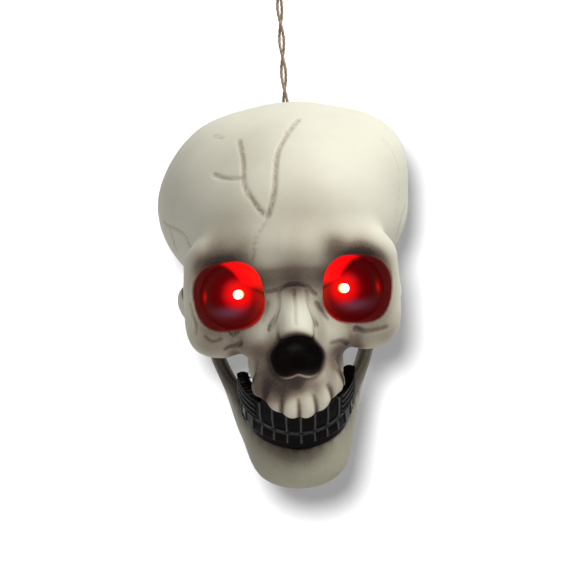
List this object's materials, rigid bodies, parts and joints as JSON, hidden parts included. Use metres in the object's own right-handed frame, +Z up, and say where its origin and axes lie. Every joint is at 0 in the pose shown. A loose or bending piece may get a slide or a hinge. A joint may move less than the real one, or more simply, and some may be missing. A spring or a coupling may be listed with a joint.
{
  "type": "hanging skull decoration",
  "caption": "Life-size hollow skull that hangs on twine, with a hinged sprung jaw, black teeth, red eye bowls lit by lamps, and a switched battery compartment underneath.",
  "frame": {"origin": "top of the twine loop, where a hook carries it", "axes": "+Z up, the face looks towards -Y, +X to the right of someone who looks at the face"},
  "size_m": [0.1423, 0.1711, 0.3003],
  "materials": {
    "bone": "satin moulded plastic, airbrushed brown and black in the hollows",
    "teeth": "glossy black",
    "bowl": "glossy translucent dark red",
    "lamp": "clear domed lamp, lit",
    "black": "matt black",
    "wire": "red insulation",
    "steel": "zinc plated",
    "cell": "plain wrapped cell",
    "contact": "nickel plated",
    "twine": "brown jute"
  },
  "bodies": {
    "head": {"face_shell": "bone", "rear_shell": "bone", "upper_teeth": "teeth", "eye_bowl_right": "bowl", "eye_bowl_left": "bowl", "led_right": "lamp", "led_left": "lamp", "led_holder_right": "black", "led_holder_left": "black", "battery_box": "black", "switch_body": "black", "lead_right": "wire", "lead_left": "wire", "battery_lead": "wire", "jaw_pivot_right": "steel", "jaw_pivot_left": "steel", "jaw_spring_right": "steel", "jaw_spring_left": "steel", "shell_screw_1": "steel", "shell_screw_2": "steel", "shell_screw_3": "steel", "shell_screw_4": "steel", "battery_box_screw_1": "steel", "battery_box_screw_2": "steel", "cord_washer": "steel", "battery_1": "cell", "battery_2": "cell", "contact_bridge": "contact", "contact_terminal_1": "contact", "contact_terminal_2": "contact", "contact_spring_1": "contact", "contact_spring_2": "contact", "hanging_cord": "twine", "cord_knot": "twine"},
    "jaw": {"jaw": "bone", "lower_teeth": "teeth"},
    "door": {"battery_door": "black", "battery_door_screw": "steel"},
    "knob": {"switch_knob": "black"}
  },
  "joints": [
    {"name": "jaw_hinge", "type": "hinge", "parent": "head", "child": "jaw", "pos_m": [-0.005, -0.01259, -0.20192], "axis": [1, 0, 0], "range_deg": [0, 20], "stiffness_Nm_per_rad": 0.15, "springref_deg": -22.92, "deforming": ["jaw_spring_right", "jaw_spring_left"]},
    {"name": "door_slide", "type": "slide", "parent": "head", "child": "door", "axis": [0, 0.2079, -0.9781], "range_m": [0, 0.03]},
    {"name": "switch_slide", "type": "slide", "parent": "head", "child": "knob", "axis": [-1, 0, 0], "range_m": [0, 0.004]}
  ]
}
